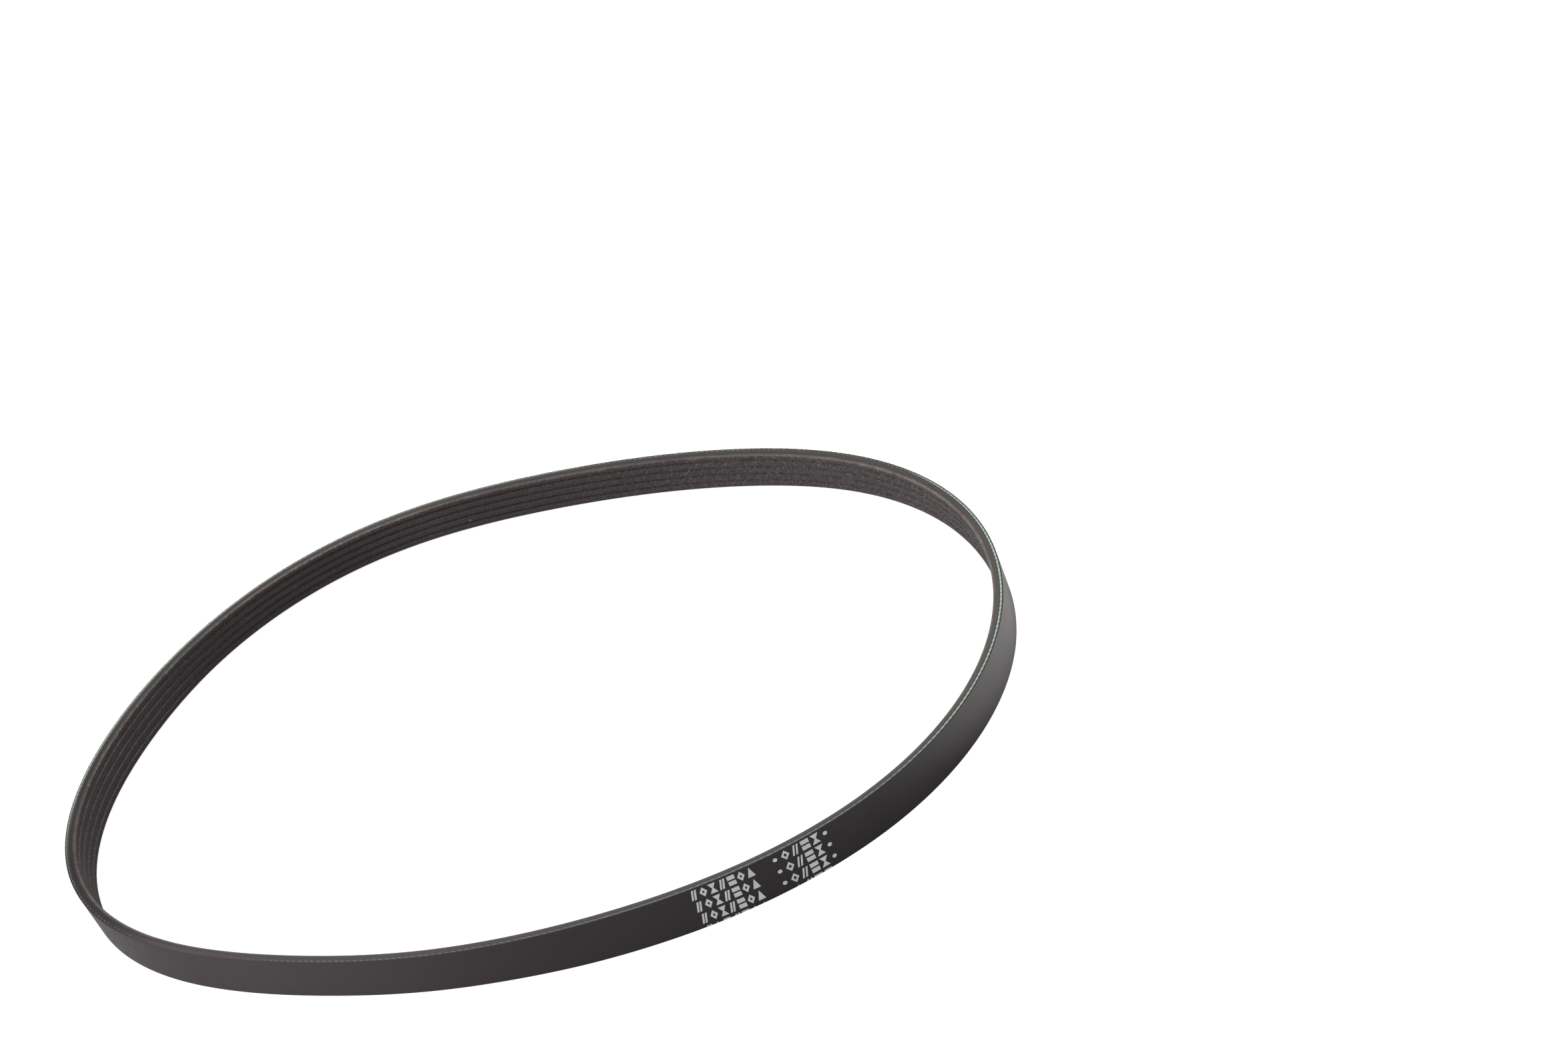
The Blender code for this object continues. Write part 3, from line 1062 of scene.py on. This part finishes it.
def frayed_tree(sizes):
    """Torn tufts along the upper back edge, where the belt is worn."""
    graph, given = new_geometry_tree("frayed_edge", sizes)
    size = given["Tuft Size"]
    loop = add_loop(graph, given, given["Belt Width"] - 0.08 * MM)
    line = graph.stored(loop, "share", graph.along_spline("Factor"))
    points = graph.add("GeometryNodeCurveToPoints", {"Curve": line, "Count": given["Tufts"]}, mode="COUNT")
    share = graph.attribute("share")
    frayed = share.rise(0.09, 0.14) * share.rise(0.56, 0.46)
    missing = graph.random(0.0, 1.0, given["Seed"]).above(frayed * 0.7)
    kept = graph.add("GeometryNodeDeleteGeometry", {
        "Geometry": points.outputs["Points"], "Selection": missing}, domain="POINT")
    out = graph.scaled(outwards(graph, points.outputs["Tangent"]), given["Strand Depth"] - 0.10 * MM)
    tuft = graph.add("GeometryNodeMeshCone", {
        "Vertices": 6, "Radius Top": size * 0.3, "Radius Bottom": size * 1.1, "Depth": size * 1.2})
    turned = graph.add("FunctionNodeRandomValue", {0: (-0.7, -0.7, 0.0), 1: (0.7, 0.7, 6.3), "Seed": 8},
                       data_type="FLOAT_VECTOR")
    placed = graph.add("GeometryNodeInstanceOnPoints", {
        "Points": graph.moved(kept, Offset=out), "Instance": tuft, "Rotation": turned.outputs[0],
        "Scale": graph.random(0.35, 1.2, 9)})
    return close_tree(graph, given, placed)


def yarn_mesh(thickness):
    """Stray yarns, lying loosely on the upper cut edge."""
    line = bpy.data.curves.new("stray_yarns", "CURVE")
    line.dimensions = "3D"
    line.bevel_depth = thickness / 2.0
    line.bevel_resolution = 1
    line.resolution_u = 6
    level = belt_width() + thickness * 0.4
    for place, reach, aside in STRAY_YARNS:
        bends = line.splines.new("BEZIER").bezier_points
        bends.add(len(YARN_BENDS) - 1)
        for bend, (along, across, lift) in zip(bends, YARN_BENDS):
            bend.co = ((place + along * reach) * MM, level + lift * MM, (across * aside - 0.8) * MM)
            bend.handle_left_type = bend.handle_right_type = "AUTO"
    loose = linked("stray_yarns_line", line)
    mesh = bpy.data.meshes.new_from_object(loose.evaluated_get(bpy.context.evaluated_depsgraph_get()))
    bpy.data.objects.remove(loose, do_unlink=True)
    return mesh


def flake_mesh():
    """A small tan flake on the tip of the second rib from below."""
    belt = settings("belt_sizes")
    tip = -belt.back_thickness - belt.rib_height
    shape = bmesh.new()
    for level, spread in ((0.0, 1.0), (-FLAKE_THICKNESS, 0.55)):
        slab(shape, [(FLAKE_PLACE[0] + x * spread * MM, FLAKE_PLACE[1] + y * spread * MM) for x, y in FLAKE])
        shape.verts.ensure_lookup_table()
        for vert in shape.verts[-len(FLAKE):]:
            vert.co.z = tip + level * MM
    bmesh.ops.bridge_loops(shape, edges=shape.edges[:])
    mesh = bpy.data.meshes.new("flake")
    shape.to_mesh(mesh)
    shape.free()
    return mesh


class BELT_OT_wear(bpy.types.Operator):
    """Fray the upper back edge, and leave the stray yarns and the flake that the belt carries"""
    bl_idname = "belt.wear"
    bl_label = "Wear"

    def execute(self, context):
        wear, tint = settings("wear_sizes"), settings("belt_colours")
        sizes = loop_sizes() | {"Strand Depth": settings("belt_sizes").strand_depth,
                                "Tufts": wear.tufts, "Tuft Size": wear.tuft, "Seed": 3}
        piece = baked("frayed_edge", bpy.data.meshes.new("fray_seed"), frayed_tree(sizes), sizes,
                      varied_material("torn_rubber", tint.torn))
        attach(piece, BODY)
        yarns = laid("stray_yarns", yarn_mesh(wear.yarn), 0.0, varied_material("loose_yarn", tint.strand))
        face_outwards(yarns.data)
        flake = laid("flake", flake_mesh(), 0.0, varied_material("tan_flake", tint.flake))
        face_outwards(flake.data)
        return {"FINISHED"}


def seen_directly(graph):
    """1 for what the camera sees, and the light path node itself."""
    path = graph.add("ShaderNodeLightPath")
    return graph.term(path, "Is Camera Ray").high(graph.term(path, "Is Transmission Ray")), path


def white_floor():
    """A floor that looks white, and reflects softly in the rubber, with a painted pool of light right of the
    belt that only reflections see.
    """
    mesh = bpy.data.meshes.new("floor")
    low, high = -FLOOR_REACH, FLOOR_REACH
    mesh.from_pydata([(low, low, 0), (high, low, 0), (high, high, 0), (low, high, 0)], [], [(0, 1, 2, 3)])
    material, g, shader = new_material("white_floor")
    shader.inputs["Base Color"].default_value = (0.50, 0.50, 0.50, 1.0)
    shader.inputs["Roughness"].default_value = 0.9
    shader.inputs["Specular IOR Level"].default_value = 0.0
    seen, path = seen_directly(g)
    x, _, _ = g.parts(g.add("ShaderNodeTexCoord").outputs["Object"])
    # Painted reflection: right of the belt the floor glows more for glossy rays only, so the back's right
    # end shows a brighter reflection
    painted_reflection_pool = x.rise(0.184, 0.218)
    seen = (seen * 0.85).high(g.term(path, "Is Glossy Ray") * (0.225 + painted_reflection_pool * 2.0))
    glow = g.add("ShaderNodeEmission", {"Color": WHITE, "Strength": seen})
    both = g.add("ShaderNodeAddShader", {0: shader.outputs[0], 1: glow.outputs[0]})
    g.join(material.node_tree.nodes["Material Output"].inputs["Surface"], both)
    mesh.materials.append(material)
    return linked("floor", mesh)


def soft_room(scene):
    """A bright room on all sides, white where the camera sees it."""
    world = bpy.data.worlds.new("soft_room")
    scene.world = world
    world.use_nodes = True
    g = Graph(world.node_tree)
    backdrop = world.node_tree.nodes["Background"]
    shown, path = seen_directly(g)
    shiny = g.term(path, "Is Glossy Ray") * 0.67
    g.join(backdrop.inputs["Strength"], 0.69 + shown * 0.31 + shiny)
    backdrop.inputs["Color"].default_value = WHITE


def left_panel():
    """One soft panel, left of the belt; the bright room gives the rest."""
    lamp = bpy.data.lights.new("left_panel", "AREA")
    lamp.shape = "RECTANGLE"
    lamp.size, lamp.size_y = PANEL_SIDES
    lamp.energy = PANEL_WATTS
    panel = linked("left_panel", lamp)
    panel.location = PANEL_PLACE
    panel.rotation_euler = (-panel.location).to_track_quat("-Z", "Y").to_euler()
    panel.visible_camera = False


def photo_camera():
    """The camera at the photograph's place, turned by its bearing, tilt and roll."""
    camera = bpy.data.cameras.new("camera")
    camera.sensor_width, camera.lens = 36.0, CAMERA_LENS
    camera.sensor_fit = "HORIZONTAL"
    camera.clip_start, camera.clip_end = 0.01, 20.0
    level = Vector((math.sin(CAMERA_BEARING), math.cos(CAMERA_BEARING), 0.0)) * math.cos(CAMERA_TILT)
    forward = level - Vector((0.0, 0.0, math.sin(CAMERA_TILT)))
    right = Vector((math.cos(CAMERA_BEARING), -math.sin(CAMERA_BEARING), 0.0))
    up = right.cross(forward)
    level_right = right * math.cos(CAMERA_ROLL) + up * math.sin(CAMERA_ROLL)
    level_up = up * math.cos(CAMERA_ROLL) - right * math.sin(CAMERA_ROLL)
    turn = Matrix((level_right, level_up, -forward)).transposed()
    view = linked("camera", camera)
    view.matrix_world = Matrix.Translation(CAMERA_PLACE) @ turn.to_4x4()
    return view


class BELT_OT_stage(bpy.types.Operator):
    """Set the white floor, the soft light and the camera"""
    bl_idname = "belt.stage"
    bl_label = "Stage"

    def execute(self, context):
        scene = context.scene
        floor = white_floor()
        soft_room(scene)
        left_panel()
        scene.camera = photo_camera()
        scene.view_settings.view_transform = "Standard"
        return {"FINISHED"}


class BELT_PT_panel(bpy.types.Panel):
    """The belt's sizes, colours and steps"""
    bl_label = "Serpentine Belt"
    bl_idname = "BELT_PT_panel"
    bl_space_type = "VIEW_3D"
    bl_region_type = "UI"
    bl_category = "Belt"

    def draw(self, context):
        for group in PROPERTY_GROUPS:
            box = self.layout.box()
            data = getattr(context.scene, group)
            for name in data.__annotations__:
                box.prop(data, name)
        for operator in OPERATORS:
            self.layout.operator(operator.bl_idname)


PROPERTY_GROUPS = {
    "belt_sizes": BeltSizes,
    "strand_sizes": StrandSizes,
    "fibre_sizes": FibreSizes,
    "mark_sizes": MarkSizes,
    "wear_sizes": WearSizes,
    "belt_colours": BeltColours,
}
OPERATORS = (BELT_OT_rubber, BELT_OT_strand, BELT_OT_fibres, BELT_OT_marks, BELT_OT_wear, BELT_OT_stage)


def register():
    for name, group in PROPERTY_GROUPS.items():
        bpy.utils.register_class(group)
        setattr(bpy.types.Scene, name, bpy.props.PointerProperty(type=group))
    for operator in OPERATORS:
        bpy.utils.register_class(operator)
    bpy.utils.register_class(BELT_PT_panel)


def unregister():
    bpy.utils.unregister_class(BELT_PT_panel)
    for operator in reversed(OPERATORS):
        bpy.utils.unregister_class(operator)
    for name, group in reversed(PROPERTY_GROUPS.items()):
        delattr(bpy.types.Scene, name)
        bpy.utils.unregister_class(group)


def main():
    register()
    bpy.ops.belt.rubber()
    bpy.ops.belt.strand()
    bpy.ops.belt.fibres()
    bpy.ops.belt.marks()
    bpy.ops.belt.wear()
    bpy.ops.belt.stage()


if __name__ == "__main__":
    main()
